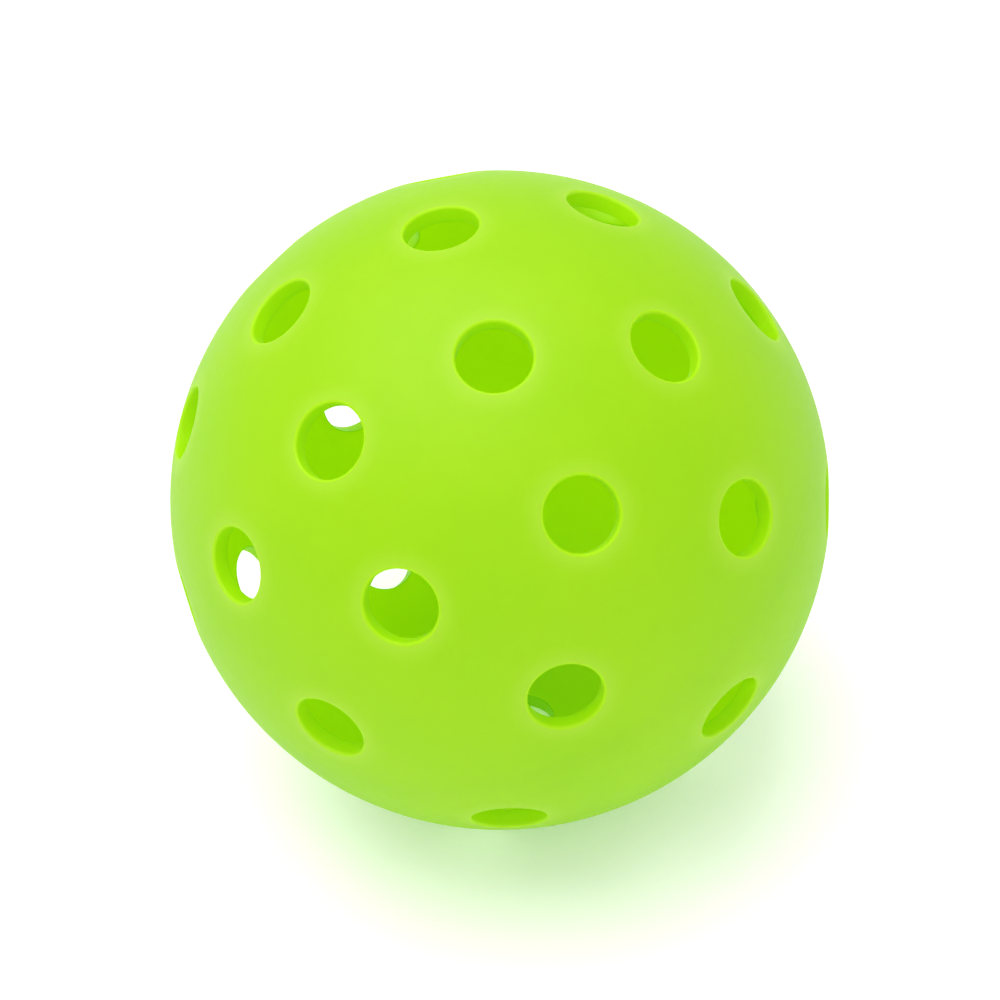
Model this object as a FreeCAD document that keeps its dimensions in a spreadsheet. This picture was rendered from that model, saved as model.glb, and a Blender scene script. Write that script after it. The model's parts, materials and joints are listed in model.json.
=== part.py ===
"""Pickleball: a hollow ball of two like half shells, each with twenty round air holes, butt-welded at the equator.

The row frame has its origin at the ball's centre and +Z up. The ball stands on one of the lower half's crown
holes, whose axis is -Z, so the line through the two poles leans from +Z towards -X.
"""

import FreeCAD, Part
import os
import Sketcher

from FreeCAD import Placement, Rotation, Vector

Y_AXIS, Z_AXIS = Vector(0, 1, 0), Vector(0, 0, 1)
FULL_TURN = 360.0
FIRST_LEAN = 1.0  # holds a body's rotation on the Y axis until its formula sets the angle
ON_SURFACE = 1e-4  # how near to the ball's surface a point counts as on it, in millimetres

# How a sketch's constraints name a curve's points, the sketch's origin and its two axes
START, END, CENTRE = 1, 2, 3
ROOT, HORIZONTAL, VERTICAL = -1, -1, -2

# Driving dimensions, in millimetres and degrees: (alias, value, meaning)
DIMENSIONS = (
    ("ball_diameter", 74.0, "outside diameter of the ball"),
    ("wall_thickness", 1.9, "wall of both half shells"),
    ("hole_diameter", 8.2, "every air hole"),
    ("hole_edge_radius", 0.3, "rounding of each hole's outer edge"),
    ("crown_angle", 22.1, "from the pole to the crown ring of holes"),
    ("crown_count", 4, "holes in the crown ring"),
    ("crown_start", 0.0, "azimuth of the crown ring's first hole"),
    ("middle_angle", 49.5, "from the pole to the middle ring of holes"),
    ("middle_count", 8, "holes in the middle ring"),
    ("middle_start", 22.5, "azimuth of the middle ring's first hole"),
    ("rim_angle", 74.8, "from the pole to the rim ring of holes"),
    ("rim_count", 8, "holes in the rim ring"),
    ("rim_start", 0.0, "azimuth of the rim ring's first hole"),
    ("lower_turn", 0.0, "turn of the lower half's hole pattern about its own pole"),
    ("upper_turn", 22.5, "turn of the upper half's hole pattern about its own pole"),
    ("weld_width", 0.4, "remelted band between the rims of the two halves"),
    ("bead_height", 1.6, "inside bead of the weld, along the ball's wall"),
    ("bead_depth", 0.5, "inside bead of the weld, from the wall inwards"),
)

RINGS = ("crown", "middle", "rim")
UPPER_SHELL, LOWER_SHELL, WELD_BEAD = "upper_half_shell", "lower_half_shell", "weld_bead"


def make_sheet(doc):
    """The driving dimensions, and the lengths that follow from them."""
    sheet = doc.addObject("Spreadsheet::Sheet", "Dimensions")
    follows = (
        ("outer_radius", "=ball_diameter / 2"),
        ("inner_radius", "=ball_diameter / 2 - wall_thickness"),
        ("drill_reach", "=ball_diameter / 2 + wall_thickness"),
    )
    for row, (alias, value, meaning) in enumerate(DIMENSIONS, start=1):
        sheet.set(f"A{row}", meaning)
        sheet.set(f"B{row}", str(value))
        sheet.setAlias(f"B{row}", alias)
    for row, (alias, formula) in enumerate(follows, start=len(DIMENSIONS) + 1):
        sheet.set(f"A{row}", alias.replace("_", " "))
        sheet.set(f"B{row}", formula)
        sheet.setAlias(f"B{row}", alias)
    doc.recompute()
    return sheet


def origin_part(body, role):
    """One of the body's own origin planes or axes, found by its role."""
    return next(part for part in body.Origin.OriginFeatures if part.Role == role)


def new_body(doc, label, lean_formula):
    """A body that leans about Y by the angle in lean_formula."""
    body = doc.addObject("PartDesign::Body", label)
    body.Label = label
    body.Placement = Placement(Vector(), Rotation(Y_AXIS, FIRST_LEAN))
    body.setExpression("Placement.Rotation.Angle", lean_formula)
    return body


def meridian_sketch(body, name):
    """An empty sketch in the body's XZ plane: x is the distance from the poles' line, y the height."""
    sketch = body.newObject("Sketcher::SketchObject", name)
    sketch.AttachmentSupport = (origin_part(body, "XZ_Plane"), [""])
    sketch.MapMode = "FlatFace"
    return sketch


def size(sketch, constraint, name, formula):
    """Add a dimension to the sketch, name it and bind it to the sheet."""
    index = sketch.addConstraint(constraint)
    sketch.renameConstraint(index, name)
    sketch.setExpression(f"Constraints.{name}", formula)


def point_at(radius, height):
    """The point of a circle about the origin at this height, on the +x side."""
    return Vector((radius**2 - height**2) ** 0.5, height, 0)


def arc_between(radius, start, end):
    """A counter-clockwise arc about the origin."""
    circle = Part.Circle(Vector(), Z_AXIS, radius)
    return Part.ArcOfCircle(circle, circle.parameter(start), circle.parameter(end))


def revolve(body, sketch, name):
    """A full turn of the sketch about its own vertical axis."""
    turn = body.newObject("PartDesign::Revolution", name)
    turn.Profile = sketch
    turn.ReferenceAxis = (sketch, ["V_Axis"])
    turn.Angle = FULL_TURN
    sketch.Visibility = False
    return turn


def shell_wall(body, sheet):
    """The plain half shell: a quarter ring in the meridian plane, turned about the poles' line."""
    outer, inner = sheet.outer_radius, sheet.inner_radius
    rim_height = sheet.weld_width / 2
    sketch = meridian_sketch(body, "WallProfile")
    outer_rim, inner_rim = point_at(outer, rim_height), point_at(inner, rim_height)
    outer_pole, inner_pole = Vector(0, outer, 0), Vector(0, inner, 0)
    outer_arc = sketch.addGeometry(arc_between(outer, outer_rim, outer_pole))
    pole_line = sketch.addGeometry(Part.LineSegment(outer_pole, inner_pole))
    inner_arc = sketch.addGeometry(arc_between(inner, inner_rim, inner_pole))
    rim_line = sketch.addGeometry(Part.LineSegment(inner_rim, outer_rim))
    for joined in (
        (outer_arc, END, pole_line, START),
        (pole_line, END, inner_arc, END),
        (inner_arc, START, rim_line, START),
        (rim_line, END, outer_arc, START),
        (outer_arc, CENTRE, ROOT, START),
        (inner_arc, CENTRE, ROOT, START),
    ):
        sketch.addConstraint(Sketcher.Constraint("Coincident", *joined))
    sketch.addConstraint(Sketcher.Constraint("PointOnObject", pole_line, START, VERTICAL))
    sketch.addConstraint(Sketcher.Constraint("PointOnObject", pole_line, END, VERTICAL))
    sketch.addConstraint(Sketcher.Constraint("Horizontal", rim_line))
    size(sketch, Sketcher.Constraint("Radius", outer_arc, outer), "outer_radius", "Dimensions.outer_radius")
    size(sketch, Sketcher.Constraint("Radius", inner_arc, inner), "inner_radius", "Dimensions.inner_radius")
    lift = Sketcher.Constraint("DistanceY", ROOT, START, rim_line, START, rim_height)
    size(sketch, lift, "rim_height", "Dimensions.weld_width / 2")
    return revolve(body, sketch, "Wall")


def hole_ring(doc, body, half, ring):
    """One radial hole through the wall, repeated about the poles' line."""
    drill = body.newObject("PartDesign::SubtractiveCylinder", f"{ring.title()}Hole")
    drill.AttachmentSupport = (origin_part(body, "XY_Plane"), [""])
    drill.MapMode = "FlatFace"
    drill.setExpression("Radius", "Dimensions.hole_diameter / 2")
    drill.setExpression("Height", "Dimensions.drill_reach")
    azimuth = f"Dimensions.{ring}_start + Dimensions.{half}_turn"
    drill.setExpression(
        "AttachmentOffset",
        "create(<<placement>>; create(<<vector>>; 0; 0; 0); "
        f"create(<<rotation>>; {azimuth}; Dimensions.{ring}_angle; 0))",
    )
    doc.recompute()
    before = body.Shape.Volume
    pattern = body.newObject("PartDesign::PolarPattern", f"{ring.title()}Ring")
    pattern.Originals = [drill]
    pattern.Axis = (origin_part(body, "Z_Axis"), [""])
    pattern.Angle = FULL_TURN
    pattern.setExpression("Occurrences", f"Dimensions.{ring}_count")
    body.Tip = pattern
    doc.recompute()
    if not body.Shape.Volume < before:
        raise RuntimeError(f"the {ring} ring of {body.Label} cuts nothing")


def outer_hole_edges(shape, sheet):
    """The names of the circles where the holes meet the ball's outer surface."""
    longest = 2 * sheet.hole_diameter
    names = []
    for number, edge in enumerate(shape.Edges, start=1):
        on_ball = all(abs(v.Point.Length - sheet.outer_radius) < ON_SURFACE for v in edge.Vertexes)
        if on_ball and edge.BoundBox.DiagonalLength < longest:
            names.append(f"Edge{number}")
    return names


def half_shell(doc, sheet, label, half, lean_formula):
    """One moulded half: the plain shell, three rings of holes and their rounded outer edges."""
    body = new_body(doc, label, lean_formula)
    shell_wall(body, sheet)
    doc.recompute()
    for ring in RINGS:
        hole_ring(doc, body, half, ring)
    drilled = body.Tip
    rounding = body.newObject("PartDesign::Fillet", "HoleEdges")
    rounding.Base = (drilled, outer_hole_edges(drilled.Shape, sheet))
    rounding.setExpression("Radius", "Dimensions.hole_edge_radius")
    body.Tip = rounding
    doc.recompute()
    return body


def weld_bead(doc, sheet):
    """The weld: a band through the wall at the equator, flush outside, with a rounded bead inside."""
    outer, inner = sheet.outer_radius, sheet.inner_radius
    band, half_bead = sheet.weld_width / 2, sheet.bead_height / 2
    crest = inner - sheet.bead_depth
    body = new_body(doc, WELD_BEAD, "-Dimensions.crown_angle")
    sketch = meridian_sketch(body, "WeldProfile")
    low_outer, high_outer = point_at(outer, -band), point_at(outer, band)
    high_inner, high_toe = point_at(inner, band), point_at(inner, half_bead)
    low_inner, low_toe = point_at(inner, -band), point_at(inner, -half_bead)
    bulge = Part.Arc(high_toe, Vector(crest, 0, 0), low_toe)
    ball_arc = sketch.addGeometry(arc_between(outer, low_outer, high_outer))
    high_face = sketch.addGeometry(Part.LineSegment(high_outer, high_inner))
    high_arc = sketch.addGeometry(arc_between(inner, high_inner, high_toe))
    crest_arc = sketch.addGeometry(bulge)
    low_arc = sketch.addGeometry(arc_between(inner, low_toe, low_inner))
    low_face = sketch.addGeometry(Part.LineSegment(low_inner, low_outer))
    crest_point = sketch.addGeometry(Part.Point(Vector(crest, 0, 0)), True)
    for joined in (
        (ball_arc, END, high_face, START),
        (high_face, END, high_arc, START),
        (high_arc, END, crest_arc, START),
        (crest_arc, END, low_arc, START),
        (low_arc, END, low_face, START),
        (low_face, END, ball_arc, START),
        (ball_arc, CENTRE, ROOT, START),
        (high_arc, CENTRE, ROOT, START),
        (low_arc, CENTRE, ROOT, START),
    ):
        sketch.addConstraint(Sketcher.Constraint("Coincident", *joined))
    for face in (high_face, low_face):
        sketch.addConstraint(Sketcher.Constraint("Horizontal", face))
    sketch.addConstraint(Sketcher.Constraint("Equal", high_arc, low_arc))
    sketch.addConstraint(Sketcher.Constraint("PointOnObject", crest_point, START, crest_arc))
    sketch.addConstraint(Sketcher.Constraint("PointOnObject", crest_point, START, HORIZONTAL))
    radius = Sketcher.Constraint("Radius", ball_arc, outer)
    size(sketch, radius, "outer_radius", "Dimensions.outer_radius")
    radius = Sketcher.Constraint("Radius", high_arc, inner)
    size(sketch, radius, "inner_radius", "Dimensions.inner_radius")
    for name, line, side in (("band_above", high_face, 1), ("band_below", low_face, -1)):
        height = Sketcher.Constraint("DistanceY", ROOT, START, line, START, side * band)
        size(sketch, height, name, f"{side} * Dimensions.weld_width / 2")
    for name, end, side in (("bead_above", START, 1), ("bead_below", END, -1)):
        height = Sketcher.Constraint("DistanceY", ROOT, START, crest_arc, end, side * half_bead)
        size(sketch, height, name, f"{side} * Dimensions.bead_height / 2")
    reach = Sketcher.Constraint("DistanceX", ROOT, START, crest_point, START, crest)
    size(sketch, reach, "bead_crest", "Dimensions.inner_radius - Dimensions.bead_depth")
    revolve(body, sketch, "Weld")
    doc.recompute()
    return body


def check(doc, bodies):
    """Stop if an object failed to recompute, or a sub-part isn't one valid solid."""
    for thing in doc.Objects:
        failed = [state for state in thing.State if state in ("Invalid", "Error")]
        if failed:
            raise RuntimeError(f"{thing.Name} is {failed}")
    for body in bodies:
        if body.Shape.isNull() or not body.Shape.isValid() or len(body.Shape.Solids) != 1:
            raise RuntimeError(f"{body.Label} isn't one valid solid")


def main():
    doc = FreeCAD.newDocument("Pickleball")
    sheet = make_sheet(doc)
    bodies = [
        half_shell(doc, sheet, UPPER_SHELL, "upper", "-Dimensions.crown_angle"),
        half_shell(doc, sheet, LOWER_SHELL, "lower", "180 - Dimensions.crown_angle"),
        weld_bead(doc, sheet),
    ]
    doc.recompute()
    check(doc, bodies)
    os.makedirs("parts", exist_ok=True)
    for body in bodies:
        box = body.Shape.BoundBox
        print(f"{body.Label}: {body.Shape.Volume:.0f} mm3, {len(body.Shape.Faces)} faces,",
              f"x {box.XMin:.2f} to {box.XMax:.2f}, y {box.YMin:.2f} to {box.YMax:.2f},",
              f"z {box.ZMin:.2f} to {box.ZMax:.2f}")
        body.Shape.exportStep(f"parts/{body.Label}.step")


main()
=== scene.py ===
import json
import math

import bpy
import numpy as np
from mathutils import Matrix, Vector
from mathutils.geometry import delaunay_2d_cdt


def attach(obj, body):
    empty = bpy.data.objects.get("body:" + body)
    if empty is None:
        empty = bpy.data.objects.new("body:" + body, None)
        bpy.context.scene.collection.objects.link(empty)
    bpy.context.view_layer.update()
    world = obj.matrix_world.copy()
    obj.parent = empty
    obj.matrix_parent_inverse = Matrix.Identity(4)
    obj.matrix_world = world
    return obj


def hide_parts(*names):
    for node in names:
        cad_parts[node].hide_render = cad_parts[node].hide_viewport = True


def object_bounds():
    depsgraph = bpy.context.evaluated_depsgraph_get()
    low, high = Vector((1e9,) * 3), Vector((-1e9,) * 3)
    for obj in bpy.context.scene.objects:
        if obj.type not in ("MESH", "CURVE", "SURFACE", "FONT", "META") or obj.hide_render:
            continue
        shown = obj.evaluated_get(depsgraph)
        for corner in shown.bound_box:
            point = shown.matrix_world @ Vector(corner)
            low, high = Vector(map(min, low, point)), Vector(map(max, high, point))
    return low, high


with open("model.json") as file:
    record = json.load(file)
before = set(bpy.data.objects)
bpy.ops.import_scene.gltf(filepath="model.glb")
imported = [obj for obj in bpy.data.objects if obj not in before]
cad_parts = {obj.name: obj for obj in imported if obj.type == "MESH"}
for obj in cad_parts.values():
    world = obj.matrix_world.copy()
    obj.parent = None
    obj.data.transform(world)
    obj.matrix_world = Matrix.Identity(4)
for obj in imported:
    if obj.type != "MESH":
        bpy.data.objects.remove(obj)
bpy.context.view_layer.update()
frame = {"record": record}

MM = 0.001
MOUNTS = {mount["name"]: mount for mount in frame["record"]["mounts"]}
POLE = (0.0, 0.0, 1.0)

# The ball, as its CAD model has it, in metres and radians
BALL_RADIUS = 37.0 * MM
INNER_RADIUS = BALL_RADIUS - 1.9 * MM
HOLE_RADIUS = MOUNTS["rest_hole"]["dims"]["r_mm"] * MM
OUTER_ROUNDING = 0.3 * MM
INNER_ROUNDING = 0.12 * MM
BAND_HALF = 0.2 * MM
RIM_RECESS, RIM_SLOPE = 0.03 * MM, 0.1 * MM  # a shell's rim stands back from the weld between its two edges
BEAD_HALF = 0.8 * MM
BEAD_DEPTH = 0.5 * MM
BEAD_UNEVENNESS = 0.25  # of the bead's depth
BEAD_WAVES = ((7, 0.35, 0.4), (17, 0.25, 2.1), (41, 0.2, 0.0))  # waves round the ball, share, phase
RINGS = (  # angle from the pole, number of holes, azimuth of the first
    (math.radians(22.1), 4, 0.0),
    (math.radians(49.5), 8, math.radians(22.5)),
    (math.radians(74.8), 8, 0.0),
)
LEAN = RINGS[0][0]
UPPER_TURN = math.radians(22.5)

# Mesh fineness
HOLE_STEPS = 64
EQUATOR_STEPS = 224
ROUNDING_STEPS = 6
INNER_ROUNDING_STEPS = 3
WALL_STEPS = 3
WELD_BAND_POINTS = 5
BEAD_STEPS = 10
SPACING = 1.15 * MM
COLLARS = (0.42 * MM, 0.95 * MM)  # loops of points round each hole and along the equator, from its edge
CLEARANCE = 0.6 * SPACING  # between the last of those loops and the points that fill the rest
SMOOTHING_ROUNDS = 12
SAME_POINT = 1e-9
SHARP = math.radians(40)

# Material slots of each piece: the inside and the holes' walls let more light through than the outside, and
# are given paler, brighter copies of its colour as painted light
OUTSIDE, INSIDE, WALL = 0, 1, 2
GLOW_REACH = 2.0 * MM  # how far round a hole the light from its wall shows

# The plastic: two colours that cloud it, the paler colour painted beside a hole as a glow of light from its
# wall, roughness, share of light let through
PLASTICS = {
    "lime_outside": ((0.45, 0.725, 0.003), (0.415, 0.71, 0.002), (0.50, 0.755, 0.035), 0.42, 0.46),
    # Inside and walls: the same plastic as the outside, painted paler and brighter to stand in for the light
    # inside the ball and on the walls
    "lime_inside_painted_lit": ((0.84, 0.99, 0.01), (0.82, 0.985, 0.008), (0.84, 0.99, 0.01), 0.4, 0.64),
    "lime_wall_painted_lit": ((0.54, 0.84, 0.003), (0.52, 0.83, 0.002), (0.54, 0.84, 0.003), 0.42, 0.5),
    "lime_weld": ((0.45, 0.725, 0.003), (0.425, 0.715, 0.002), (0.45, 0.725, 0.003), 0.38, 0.46),
}
PLASTIC_IOR = 1.38
ROUGHNESS_SPREAD = 0.05

# Noise in the ball's own space: repeats per metre, detail, roughness of the detail
CLOUDS = (70.0, 3.0, 0.5)
GRAIN = (900.0, 4.0, 0.6)
FLOW = (140.0, 2.0, 0.5)
SATIN = (1500.0, 3.0, 0.6)
FLOW_DEPTH, SATIN_DEPTH = 0.06 * MM, 0.012 * MM
NOISE_LOW, NOISE_HIGH = 0.3, 0.7  # the part of the noise's range that is spread over a whole effect

# The studio
FLOOR_HALF = 3.0
FLOOR_WHITE = 0.97
FLOOR_ROUGHNESS = 0.6
FLOOR_GLOW = 0.12
ROOM_BRIGHTNESS = 0.88
LIGHTS = (  # name, place, size, power in watts
    ("key", (-0.12, 0.15, 0.85), 1.0, 7.0),
    ("fill", (-0.3, -0.75, 0.4), 0.9, 0.6),
)
BOUNCES, DIFFUSE_BOUNCES = 16, 10
CAMERA_AZIMUTH, CAMERA_ELEVATION, CAMERA_ROLL = math.radians(-34.4), math.radians(41.8), math.radians(-5.0)
CAMERA_DISTANCE = 13.0 * BALL_RADIUS
SENSOR_MM = 36.0
BALL_SHARE = 0.66  # of the picture's width that the ball fills


def turn_about(axis, angle):
    """A 3 by 3 rotation as an array."""
    return np.array(Matrix.Rotation(angle, 3, axis))


def circle_round(direction, angle, steps, phase=0.0):
    """Unit vectors at one angle from a direction, evenly round it."""
    side = np.cross(POLE, direction)
    length = np.linalg.norm(side)
    side = np.array((1.0, 0.0, 0.0)) if length < SAME_POINT else side / length
    other = np.cross(direction, side)
    turn = (np.arange(steps) + phase) * 2 * math.pi / steps
    ring = np.cos(turn)[:, None] * side + np.sin(turn)[:, None] * other
    return math.cos(angle) * np.asarray(direction) + math.sin(angle) * ring


def hole_directions():
    """The axes of one half shell's holes, with its pole on +Z."""
    found = []
    for angle, count, first in RINGS:
        for step in range(count):
            azimuth = first + step * 2 * math.pi / count
            found.append(
                (math.sin(angle) * math.cos(azimuth), math.sin(angle) * math.sin(azimuth), math.cos(angle))
            )
    return np.array(found)


def arc_points(centre, radius, start, end, steps):
    """Points of an arc in a hole's section, as (distance along the hole's axis, distance from it)."""
    turns = [start + (end - start) * k / steps for k in range(steps + 1)]
    return [(centre[0] + radius * math.cos(t), centre[1] + radius * math.sin(t)) for t in turns]


def hole_section():
    """A hole's wall from the outer surface to the inner one: rounding, straight wall, small rounding."""
    across = HOLE_RADIUS + OUTER_ROUNDING
    centre = (math.sqrt((BALL_RADIUS - OUTER_ROUNDING) ** 2 - across**2), across)
    outer = arc_points(centre, OUTER_ROUNDING, math.atan2(centre[1], centre[0]), -math.pi / 2, ROUNDING_STEPS)
    across = HOLE_RADIUS + INNER_ROUNDING
    centre = (math.sqrt((INNER_RADIUS + INNER_ROUNDING) ** 2 - across**2), across)
    tangent = math.atan2(centre[1], centre[0]) - math.pi
    inner = arc_points(centre, INNER_ROUNDING, -math.pi / 2, tangent, INNER_ROUNDING_STEPS)
    top, bottom = outer[-1][0], inner[0][0]
    wall = [(top + (bottom - top) * k / WALL_STEPS, HOLE_RADIUS) for k in range(1, WALL_STEPS)]
    return outer + wall + inner


def scattered(limit):
    """Points spread evenly over the cap within an angle of +Z, on a golden-angle spiral."""
    cap = 2 * math.pi * (1 - math.cos(limit)) * BALL_RADIUS**2
    count = int(cap / (SPACING**2 * math.sqrt(3) / 2))
    height = 1 - (np.arange(count) + 0.5) / count * (1 - math.cos(limit))
    turn = np.arange(count) * math.pi * (3 - math.sqrt(5))
    flat = np.sqrt(1 - height**2)
    return np.stack([flat * np.cos(turn), flat * np.sin(turn), height], axis=1)


def smoothed(points, triangles, fixed):
    """Each free point moves to the middle of its neighbours, on the unit sphere, a few times."""
    pairs = np.concatenate([triangles[:, [0, 1]], triangles[:, [1, 2]], triangles[:, [2, 0]]])
    pairs = np.concatenate([pairs, pairs[:, ::-1]])
    count = np.bincount(pairs[:, 0], minlength=len(points))[:, None]
    for _ in range(SMOOTHING_ROUNDS):
        total = np.zeros_like(points)
        np.add.at(total, pairs[:, 0], points[pairs[:, 1]])
        moved = total / np.maximum(count, 1)
        moved /= np.linalg.norm(moved, axis=1)[:, None]
        points = np.where(fixed[:, None], points, moved)
    return points


def collar_loops(direction, edge, steps, away):
    """Loops of unit vectors round a direction, the first at this angle from it.

    The others lie further away from the direction where away is 1, and nearer to it where away is -1.
    """
    offsets = (0.0,) + tuple(collar / BALL_RADIUS for collar in COLLARS)
    return [
        circle_round(direction, edge + away * offset, steps, 0.5 * (number % 2))
        for number, offset in enumerate(offsets)
    ]


def net_triangles(directions, hole_loops):
    """Triangles between the directions, apart from those that would close a hole."""
    # A stereographic map keeps circles, so the flat map's triangles are the sphere's
    flat = directions[:, :2] / (1 + directions[:, 2:])
    _, _, faces, sources, _, _ = delaunay_2d_cdt([Vector(p) for p in flat], [], [], 0, SAME_POINT)
    back = np.array([source[0] for source in sources])
    triangles = back[np.array(faces)]
    loop_of = np.full(len(directions), -1)
    for number, first in enumerate(hole_loops):
        loop_of[first : first + HOLE_STEPS] = number
    owner = loop_of[triangles]
    in_hole = (owner[:, 0] >= 0) & (owner[:, 0] == owner[:, 1]) & (owner[:, 1] == owner[:, 2])
    return triangles[~in_hole]


def surface_net():
    """One half's net of points and triangles on the unit sphere.

    Returns the outer surface's directions, the inner surface's, the triangles, the first point of each hole's
    loop, the first point of the rim's loop, and a hole's section. Both surfaces share the triangles.
    """
    section = hole_section()
    edge_out = math.atan2(section[0][1], section[0][0])
    edge_in = math.atan2(section[-1][1], section[-1][0])
    rim_out, rim_in = math.acos(BAND_HALF / BALL_RADIUS), math.acos(BAND_HALF / INNER_RADIUS)
    holes = hole_directions()
    outer, inner = [], []
    for direction in holes:
        outer += collar_loops(direction, edge_out, HOLE_STEPS, 1)
        inner += collar_loops(direction, edge_in, HOLE_STEPS, 1)
    hole_size = (1 + len(COLLARS)) * HOLE_STEPS
    hole_loops = [number * hole_size for number in range(len(holes))]
    rim_loop = len(holes) * hole_size
    outer += collar_loops(POLE, rim_out, EQUATOR_STEPS, -1)
    inner += collar_loops(POLE, rim_in, EQUATOR_STEPS, -1)
    fixed_count = rim_loop + (1 + len(COLLARS)) * EQUATOR_STEPS
    margin = (COLLARS[-1] + CLEARANCE) / BALL_RADIUS
    fill = scattered(rim_out)
    clear = (fill @ holes.T).max(axis=1) < math.cos(edge_out + margin)
    clear &= fill[:, 2] > math.cos(rim_out - margin)
    outer, inner = np.concatenate(outer + [fill[clear]]), np.concatenate(inner + [fill[clear]])
    triangles = net_triangles(outer, hole_loops)
    fixed = np.arange(len(outer)) < fixed_count
    outer = smoothed(outer, triangles, fixed)
    inner = np.where(fixed[:, None], inner, outer)
    return outer, inner, triangles, hole_loops, rim_loop, section


def strip(first, second, steps):
    """Quads between two closed loops, given as their first points' numbers."""
    here = np.arange(steps)
    after = (here + 1) % steps
    return np.stack([first + here, first + after, second + after, second + here], axis=1)


def new_mesh(name, points, faces, slots=None):
    """A smooth-shaded object, sharp where two faces meet at a steep angle, with its faces' material slots."""
    mesh = bpy.data.meshes.new(name)
    mesh.from_pydata([tuple(p) for p in points], [], [tuple(int(i) for i in face) for face in faces])
    mesh.update()
    mesh.shade_smooth()
    mesh.set_sharp_from_angle(angle=SHARP)
    if slots is not None:
        mesh.polygons.foreach_set("material_index", slots)
    piece = bpy.data.objects.new(name, mesh)
    bpy.context.scene.collection.objects.link(piece)
    return piece


def add_painted_glow(mesh, points):
    """Store how near each outer point is to a hole's edge, as the mask of a glow painted round the holes: 1
    at the edge, falling to 0 at GLOW_REACH.
    """
    radius = np.linalg.norm(points, axis=1)
    outward = points / radius[:, None]
    angle = np.arccos(np.clip((outward @ hole_directions().T).max(axis=1), -1.0, 1.0))
    gap = angle * BALL_RADIUS - HOLE_RADIUS - OUTER_ROUNDING
    painted_glow = np.clip(1 - gap / GLOW_REACH, 0.0, 1.0) * (radius > BALL_RADIUS - OUTER_ROUNDING)
    mesh.attributes.new("painted_glow", "FLOAT", "POINT").data.foreach_set("value", painted_glow)


def half_shell(name, turn, net):
    """A perforated half shell: both surfaces, the holes' walls and the faces that meet the weld."""
    outer, inner, triangles, hole_loops, rim_loop, section = net
    count = len(outer)
    points = [outer * BALL_RADIUS, inner * INNER_RADIUS]
    faces = [triangles, triangles[:, ::-1] + count]
    slots = [OUTSIDE, INSIDE]
    size = 2 * count
    for direction, loop in zip(hole_directions(), hole_loops):
        previous = loop
        for along, across in section[1:-1]:
            ring = circle_round(direction, math.atan2(across, along), HOLE_STEPS)
            points.append(ring * math.hypot(along, across))
            faces.append(strip(previous, size, HOLE_STEPS))
            slots.append(WALL)
            previous = size
            size += HOLE_STEPS
        faces.append(strip(previous, loop + count, HOLE_STEPS))
        slots.append(WALL)
    previous = rim_loop + count
    for radius in (INNER_RADIUS + RIM_SLOPE, BALL_RADIUS - RIM_SLOPE):
        ring = circle_round(POLE, math.acos((BAND_HALF + RIM_RECESS) / radius), EQUATOR_STEPS)
        points.append(ring * radius)
        faces.append(strip(previous, size, EQUATOR_STEPS))
        slots.append(INSIDE)
        previous = size
        size += EQUATOR_STEPS
    faces.append(strip(previous, rim_loop, EQUATOR_STEPS))
    slots.append(INSIDE)
    points = np.concatenate(points)
    slots = np.repeat(slots, [len(group) for group in faces])
    piece = new_mesh(name, points @ turn.T, [face for group in faces for face in group], slots)
    add_painted_glow(piece.data, points)
    return piece


def on_sphere(radius, height):
    """The point of the meridian at this radius and height."""
    return (math.sqrt(radius**2 - height**2), height)


def weld_section():
    """The weld's section: (distance from the poles' line, height), flush outside, a low ridge inside."""
    heights = np.linspace(-BAND_HALF, BAND_HALF, WELD_BAND_POINTS)
    outside = [on_sphere(BALL_RADIUS, height) for height in heights]
    toes = [on_sphere(INNER_RADIUS, BAND_HALF), on_sphere(INNER_RADIUS, BEAD_HALF)]
    ridge = []
    for k in range(1, BEAD_STEPS):
        angle = math.pi * k / BEAD_STEPS
        ridge.append((INNER_RADIUS - BEAD_DEPTH * math.sin(angle), BEAD_HALF * math.cos(angle)))
    lower_toes = [(x, -z) for x, z in reversed(toes)]
    return outside + toes + ridge + lower_toes


def weld(name, turn):
    """The weld's ring, with the slight unevenness of plastic squeezed out along the inside."""
    section = weld_section()
    round_ball = np.arange(EQUATOR_STEPS) * 2 * math.pi / EQUATOR_STEPS
    waves = sum(share * np.sin(number * round_ball + phase) for number, share, phase in BEAD_WAVES)
    points, faces = [], []
    for number, (x, z) in enumerate(section):
        depth = max(0.0, INNER_RADIUS - x)
        reach = x + BEAD_UNEVENNESS * depth * waves
        loop = [reach * np.cos(round_ball), reach * np.sin(round_ball), np.full(EQUATOR_STEPS, z)]
        points.append(np.stack(loop, axis=1))
        after = (number + 1) % len(section)
        faces.append(strip(number * EQUATOR_STEPS, after * EQUATOR_STEPS, EQUATOR_STEPS))
    slots = np.full(len(section) * EQUATOR_STEPS, INSIDE)
    slots[: (WELD_BAND_POINTS - 1) * EQUATOR_STEPS] = OUTSIDE
    return new_mesh(name, np.concatenate(points) @ turn.T, np.concatenate(faces), slots)


def node(tree, kind, **values):
    """A shader node with its properties set."""
    made = tree.nodes.new(kind)
    for key, value in values.items():
        setattr(made, key, value)
    return made


def noise(tree, coordinates, kind):
    """A noise texture: kind is its repeats per metre, detail and roughness."""
    made = node(tree, "ShaderNodeTexNoise")
    tree.links.new(coordinates, made.inputs["Vector"])
    for key, number in zip(("Scale", "Detail", "Roughness"), kind):
        made.inputs[key].default_value = number
    return made.outputs["Fac"]


def ranged(tree, value, low, high):
    """A noise value, spread from low to high."""
    made = node(tree, "ShaderNodeMapRange")
    tree.links.new(value, made.inputs["Value"])
    limits = {"From Min": NOISE_LOW, "From Max": NOISE_HIGH, "To Min": low, "To Max": high}
    for key, number in limits.items():
        made.inputs[key].default_value = number
    return made.outputs["Result"]


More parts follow.
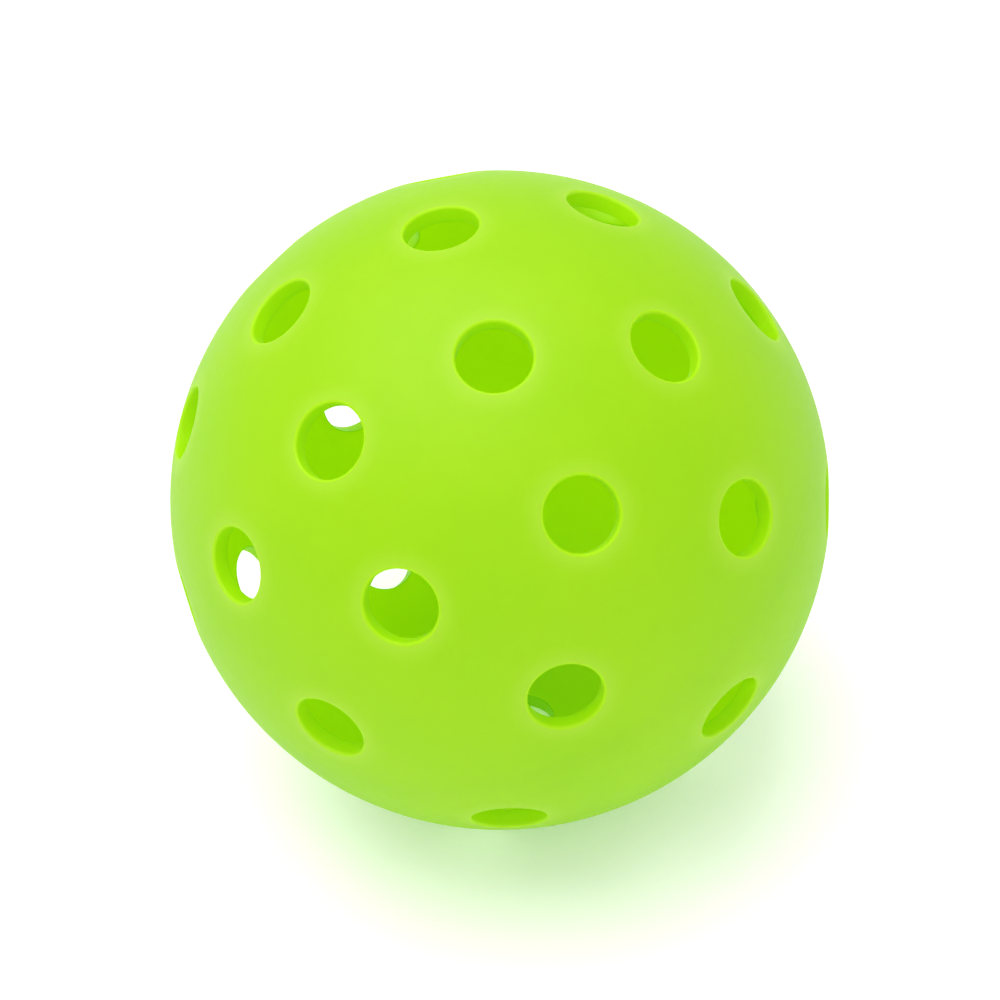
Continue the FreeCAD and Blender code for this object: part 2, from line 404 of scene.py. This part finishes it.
def bumped(tree, height, depth, below=None):
    """A bump of this depth in metres, on top of another bump if one is given."""
    made = node(tree, "ShaderNodeBump")
    made.inputs["Distance"].default_value = depth
    tree.links.new(height, made.inputs["Height"])
    if below:
        tree.links.new(below, made.inputs["Normal"])
    return made.outputs["Normal"]


def blended(tree, factor, first, second):
    """A mix of two colours, each a tuple or another node's output."""
    made = node(tree, "ShaderNodeMix", data_type="RGBA")
    tree.links.new(factor, made.inputs["Factor"])
    for key, colour in (("A", first), ("B", second)):
        if isinstance(colour, tuple):
            made.inputs[key].default_value = (*colour, 1.0)
        else:
            tree.links.new(colour, made.inputs[key])
    return made.outputs["Result"]


def polyethylene(name):
    """Lime polyethylene: some light goes through it; faintly clouded, with a fine satin grain, and a paler
    colour painted round the holes as their glow.
    """
    pale, deep, painted_glow_colour, roughness, through = PLASTICS[name]
    material = bpy.data.materials.new(name)
    material.use_nodes = True
    tree = material.node_tree
    surface = tree.nodes["Principled BSDF"]
    surface.inputs["IOR"].default_value = PLASTIC_IOR
    beyond = node(tree, "ShaderNodeBsdfTranslucent")
    both = node(tree, "ShaderNodeMixShader")
    both.inputs["Fac"].default_value = through
    tree.links.new(surface.outputs["BSDF"], both.inputs[1])
    tree.links.new(beyond.outputs["BSDF"], both.inputs[2])
    tree.links.new(both.outputs["Shader"], tree.nodes["Material Output"].inputs["Surface"])

    place = node(tree, "ShaderNodeTexCoord").outputs["Object"]
    colour = blended(tree, ranged(tree, noise(tree, place, CLOUDS), 0.0, 1.0), pale, deep)
    # Painted glow: the colour turns paler towards a hole's edge, standing in for light let through its wall
    painted_glow_mask = node(tree, "ShaderNodeAttribute", attribute_name="painted_glow").outputs["Fac"]
    colour = blended(tree, painted_glow_mask, colour, painted_glow_colour)
    tree.links.new(colour, surface.inputs["Base Color"])
    tree.links.new(colour, beyond.inputs["Color"])

    smoothest, roughest = roughness - ROUGHNESS_SPREAD, roughness + ROUGHNESS_SPREAD
    tree.links.new(ranged(tree, noise(tree, place, GRAIN), smoothest, roughest), surface.inputs["Roughness"])
    flow = bumped(tree, noise(tree, place, FLOW), FLOW_DEPTH)
    satin = bumped(tree, noise(tree, place, SATIN), SATIN_DEPTH, flow)
    tree.links.new(satin, surface.inputs["Normal"])
    return material


def paint(piece, materials):
    """Give the piece these materials, in the order of its slots."""
    for material in materials:
        piece.data.materials.append(material)


def build_ball():
    """The three pieces, each in place of its CAD node."""
    net = surface_net()
    upper_turn = turn_about("Y", -LEAN) @ turn_about("Z", UPPER_TURN)
    lower_turn = turn_about("Y", math.pi - LEAN)
    weld_turn = turn_about("Y", -LEAN)
    outside, inside, wall, melted = [polyethylene(name) for name in PLASTICS]
    shell_plastics, weld_plastics = (outside, inside, wall), (melted, inside)
    for node_name, slot, piece, plastics in (
        ("upper_half_shell", "shell", half_shell("upper_shell", upper_turn, net), shell_plastics),
        ("lower_half_shell", "shell", half_shell("lower_shell", lower_turn, net), shell_plastics),
        ("weld_bead", "weld", weld("weld_ring", weld_turn), weld_plastics),
    ):
        paint(piece, plastics)
        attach(piece, "root")
        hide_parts(node_name)


def build_floor():
    """A plain pale floor that the ball stands on, faintly lit from below like a light table."""
    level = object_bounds()[0][2]
    signs = ((-1, -1), (1, -1), (1, 1), (-1, 1))
    corners = [(x * FLOOR_HALF, y * FLOOR_HALF, level) for x, y in signs]
    floor = new_mesh("floor", corners, [range(len(corners))])
    material = bpy.data.materials.new("white_paper")
    material.use_nodes = True
    shader = material.node_tree.nodes["Principled BSDF"]
    shader.inputs["Base Color"].default_value = (FLOOR_WHITE, FLOOR_WHITE, FLOOR_WHITE, 1.0)
    shader.inputs["Roughness"].default_value = FLOOR_ROUGHNESS
    shader.inputs["Emission Color"].default_value = (1.0, 1.0, 1.0, 1.0)
    shader.inputs["Emission Strength"].default_value = FLOOR_GLOW
    paint(floor, [material])


def area_light(name, place, size, power):
    """A soft square light that faces the ball."""
    light = bpy.data.lights.new(name, "AREA")
    light.size = size
    light.energy = power
    lamp = bpy.data.objects.new(name, light)
    lamp.location = place
    lamp.rotation_euler = (-Vector(place)).to_track_quat("-Z", "Y").to_euler()
    bpy.context.scene.collection.objects.link(lamp)


def build_lights():
    """A white room, a large soft light overhead and a weak one in front."""
    scene = bpy.context.scene
    scene.world = bpy.data.worlds.new("white_room")
    scene.world.use_nodes = True
    background = scene.world.node_tree.nodes["Background"]
    background.inputs["Color"].default_value = (1.0, 1.0, 1.0, 1.0)
    background.inputs["Strength"].default_value = ROOM_BRIGHTNESS
    scene.cycles.max_bounces = BOUNCES
    scene.cycles.diffuse_bounces = DIFFUSE_BOUNCES
    scene.view_settings.view_transform = "Standard"
    for light in LIGHTS:
        area_light(*light)


def build_camera():
    """The camera looks down at the ball from its front left, turned a little about its own axis."""
    level = math.cos(CAMERA_ELEVATION)
    place = CAMERA_DISTANCE * Vector(
        (math.sin(CAMERA_AZIMUTH) * level, -math.cos(CAMERA_AZIMUTH) * level, math.sin(CAMERA_ELEVATION))
    )
    data = bpy.data.cameras.new("camera")
    data.sensor_width = SENSOR_MM
    data.lens = SENSOR_MM * BALL_SHARE / 2 / math.tan(math.asin(BALL_RADIUS / CAMERA_DISTANCE))
    camera = bpy.data.objects.new("camera", data)
    aim = (-place).to_track_quat("-Z", "Y").to_matrix().to_4x4()
    camera.matrix_world = Matrix.Translation(place) @ aim @ Matrix.Rotation(CAMERA_ROLL, 4, "Z")
    bpy.context.scene.collection.objects.link(camera)
    bpy.context.scene.camera = camera


build_camera()
build_ball()
build_floor()
build_lights()
